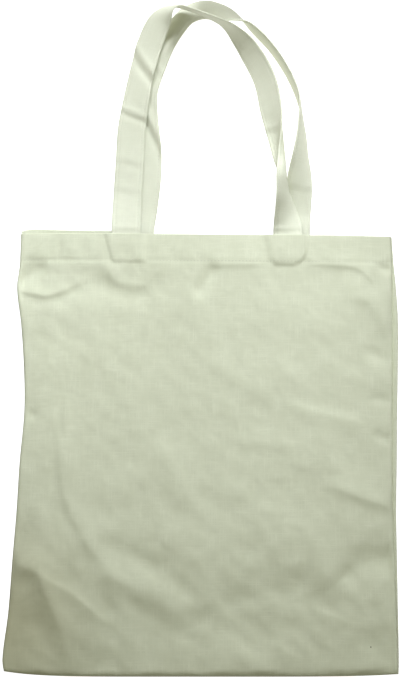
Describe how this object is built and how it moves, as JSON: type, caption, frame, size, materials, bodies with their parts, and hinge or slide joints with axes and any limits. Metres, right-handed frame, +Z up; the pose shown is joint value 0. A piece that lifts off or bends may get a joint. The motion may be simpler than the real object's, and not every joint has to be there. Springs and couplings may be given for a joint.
{
  "type": "tote bag",
  "caption": "Plain natural cotton tote bag lying flat on its back, with folded hems at the open mouth and flat strap handles laid out above it",
  "frame": {"origin": "on the underside of the back panel, where the bag rests, near the middle of the body", "axes": "+X across the bag to the right as seen from above, +Y from the bottom fold to the mouth and on along the handles, +Z up from the surface it lies on"},
  "size_m": [0.3809, 0.6705, 0.0443],
  "materials": {
    "body_cotton": "undyed plain weave, unprinted, soft creases",
    "strap_cotton": "undyed plain weave, folded into a flat strap with a row of stitches along both edges"
  },
  "bodies": {
    "root": {"front_panel": "body_cotton", "back_panel": "body_cotton", "front_hem": "body_cotton", "back_hem": "body_cotton", "front_handle": "strap_cotton", "back_handle": "strap_cotton"}
  },
  "joints": []
}
